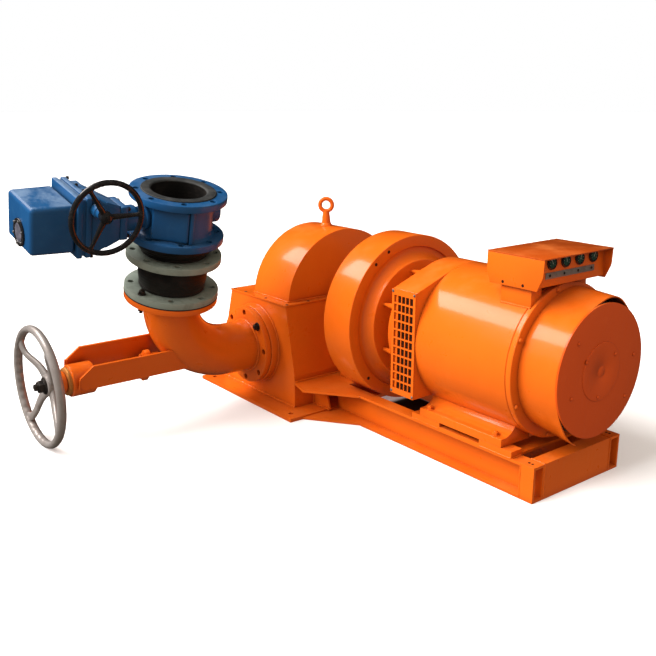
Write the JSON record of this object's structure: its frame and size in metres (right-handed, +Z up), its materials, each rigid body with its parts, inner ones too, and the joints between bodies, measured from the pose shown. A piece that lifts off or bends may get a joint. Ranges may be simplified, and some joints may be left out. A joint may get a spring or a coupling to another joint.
{
  "type": "water turbine",
  "caption": "Small impulse water turbine set: housing, flywheel and generator on one channel frame, fed by an elbow, rubber joint and motor-driven butterfly valve.",
  "frame": {"origin": "on the ground below the shaft's axis, level along the shaft with the middle of the nozzle", "axes": "+X along the shaft from the turbine to the generator, +Z up, and the nozzle enters the housing from -Y"},
  "size_m": [1.7439, 1.7113, 0.9646],
  "materials": {
    "orange": "glossy enamel, a little uneven and dusty",
    "blue": "semi-gloss paint over rough castings",
    "grey": "grey-green paint over zinc",
    "rubber": "moulded, matt",
    "liner": "smooth seat face",
    "black": "gloss black enamel",
    "polished": "hand-polished casting",
    "steel": "dark oiled steel",
    "brass": "turned, tarnished"
  },
  "bodies": {
    "base": {"frame_rail_near": "orange", "frame_rail_far": "orange", "frame_stub_near": "orange", "frame_stub_far": "orange", "frame_deck": "orange", "frame_end_channel": "orange", "frame_cross_front": "orange", "frame_cross_rear": "orange", "turbine_base_plate": "orange", "turbine_housing": "orange", "housing_ledge": "orange", "turbine_hood": "orange", "lifting_eye": "orange", "housing_inlet_boss": "orange", "inlet_elbow": "orange", "spear_gland": "orange", "yoke_plate_near": "orange", "yoke_plate_far": "orange", "yoke_sleeve": "orange", "shaft_bearing": "orange", "generator_drive_end": "orange", "generator_grille_near": "orange", "generator_grille_far": "orange", "generator_barrel": "orange", "rear_cowl": "orange", "rear_disc": "orange", "terminal_neck": "orange", "terminal_box": "orange", "terminal_lid": "orange", "joint_ring_lower": "grey", "joint_ring_upper": "grey", "rubber_joint": "rubber", "valve_body": "blue", "valve_top_flange": "blue", "gear_case": "blue", "drive_collar": "blue", "drive_cover": "blue", "valve_seat_ring": "liner", "valve_disc": "steel", "rear_screen": "black", "drive_window": "black", "yoke_bush": "brass"},
    "rotor": {"flywheel": "orange", "turbine_shaft": "steel", "generator_coupling": "orange"},
    "spear_drive": {"spear_wheel": "polished", "spear_carrier": "orange", "spear_nut": "steel"},
    "drive_hand_wheel": {"hand_wheel": "black"}
  },
  "joints": [
    {"name": "flywheel_spin", "type": "hinge", "parent": "base", "child": "rotor", "pos_m": [0.5, 0, 0.401], "axis": [1, 0, 0], "continuous": true},
    {"name": "spear_wheel_spin", "type": "hinge", "parent": "base", "child": "spear_drive", "pos_m": [0, -1.246, 0.2265], "axis": [0, -1, 0], "continuous": true},
    {"name": "hand_wheel_spin", "type": "hinge", "parent": "base", "child": "drive_hand_wheel", "pos_m": [0.2945, -1.0765, 0.84], "axis": [0.9694, 0, -0.2453], "continuous": true}
  ]
}
